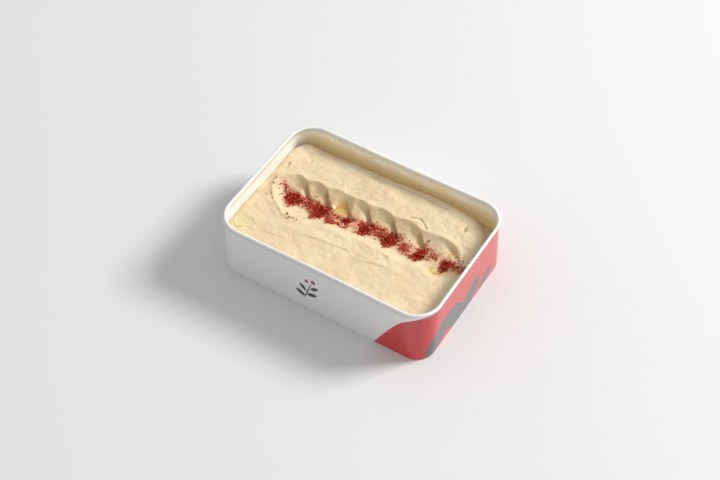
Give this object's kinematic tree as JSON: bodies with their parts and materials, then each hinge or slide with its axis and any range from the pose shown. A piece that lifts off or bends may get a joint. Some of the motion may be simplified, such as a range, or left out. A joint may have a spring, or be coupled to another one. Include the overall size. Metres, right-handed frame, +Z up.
{
  "type": "hummus in a rectangular paperboard tub",
  "caption": "Rectangular paperboard tub with a rolled rim, filled with hummus that has a spooned, scalloped trough holding oil and red pepper flakes.",
  "frame": {"origin": "middle of the tub's foot, on the surface that it stands on", "axes": "+Z up out of the open tub, +X along the long side towards the printed end, +Y towards the long side behind the trough"},
  "size_m": [0.172, 0.1164, 0.0484],
  "materials": {
    "board": "white coated paperboard, satin, printed with a red field and grey leaves at one end",
    "base_board": "white coated paperboard, matt",
    "hummus": "smooth moist cream dip, soft sheen",
    "pepper_flakes": "crushed dried red pepper",
    "oil": "clear golden oil"
  },
  "bodies": {
    "root": {"tub_wall": "board", "tub_base": "base_board", "hummus": "hummus", "oil_middle": "oil", "oil_right_front": "oil", "oil_corner": "oil"}
  },
  "joints": []
}
